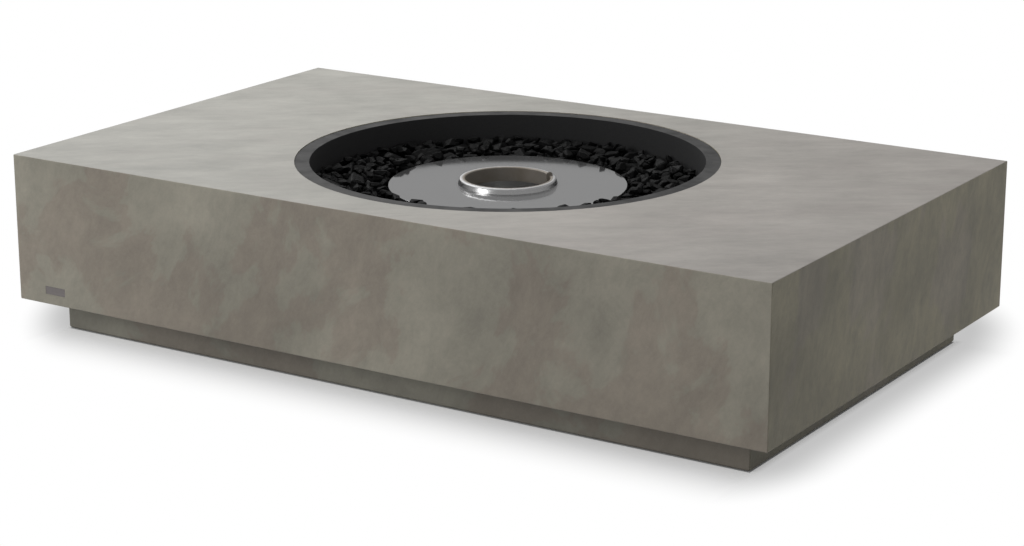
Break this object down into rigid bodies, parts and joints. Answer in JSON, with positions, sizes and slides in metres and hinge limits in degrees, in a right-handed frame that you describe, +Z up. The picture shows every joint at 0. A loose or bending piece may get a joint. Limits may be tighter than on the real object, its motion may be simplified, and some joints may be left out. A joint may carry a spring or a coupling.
{
  "type": "fire pit table",
  "caption": "Low rectangular fire table: hollow concrete block on an inset plinth, with a round steel pan of black stones round a flat liquid-fuel burner with a raised mouth ring.",
  "frame": {"origin": "on the floor under the middle of the table", "axes": "+X along the long side, -Y the front face with the blank badge, +Z up"},
  "size_m": [1.27, 0.762, 0.277],
  "materials": {
    "cast_concrete": "matt, brushed in soft slanting strokes, mottled",
    "plinth_concrete": "matt, darker",
    "black_pan_steel": "fine matt powder coat",
    "burner_stainless": "bright, close to a mirror",
    "ring_stainless": "satin, turned",
    "tank_stainless": "satin",
    "frame_steel": "galvanised",
    "fastener_steel": "zinc plated",
    "insert_brass": "turned",
    "shield_aluminium": "mill finish",
    "black_rubber": "matt",
    "badge_metal": "fine satin, blank",
    "black_stones": "broken charcoal with glassy facets"
  },
  "bodies": {
    "table": {"table_shell": "cast_concrete", "plinth": "plinth_concrete", "foot_pads": "black_rubber", "blank_badge": "badge_metal", "badge_pins": "fastener_steel", "frame_long_rails": "frame_steel", "frame_short_rails": "frame_steel", "frame_cross_rails": "frame_steel", "apron_cleats": "frame_steel", "cleat_washers": "fastener_steel", "cleat_bolts": "fastener_steel", "apron_inserts": "insert_brass", "plinth_washers": "fastener_steel", "plinth_bolts": "fastener_steel", "plinth_inserts": "insert_brass", "heat_shield": "shield_aluminium", "shield_posts": "frame_steel", "shield_screws": "fastener_steel", "rim_gasket": "black_rubber"},
    "pan": {"fire_pan": "black_pan_steel", "burner_lugs": "black_pan_steel", "stones_inner_ring": "black_stones", "stones_middle_ring": "black_stones", "stones_outer_ring": "black_stones"},
    "burner": {"burner_tank": "tank_stainless", "burner_feet": "black_rubber", "burner_plate": "burner_stainless", "throat_tube": "tank_stainless", "flame_screen": "tank_stainless"},
    "mouth_ring": {"burner_ring": "ring_stainless", "ring_tab": "ring_stainless"}
  },
  "joints": [
    {"name": "pan_lift", "type": "slide", "parent": "table", "child": "pan", "axis": [0, 0, 1], "range_m": [0, 0.16]},
    {"name": "burner_lift", "type": "slide", "parent": "pan", "child": "burner", "axis": [0, 0, 1], "range_m": [0, 0.15]},
    {"name": "ring_lift", "type": "slide", "parent": "burner", "child": "mouth_ring", "axis": [0, 0, 1], "range_m": [0, 0.03]}
  ]
}
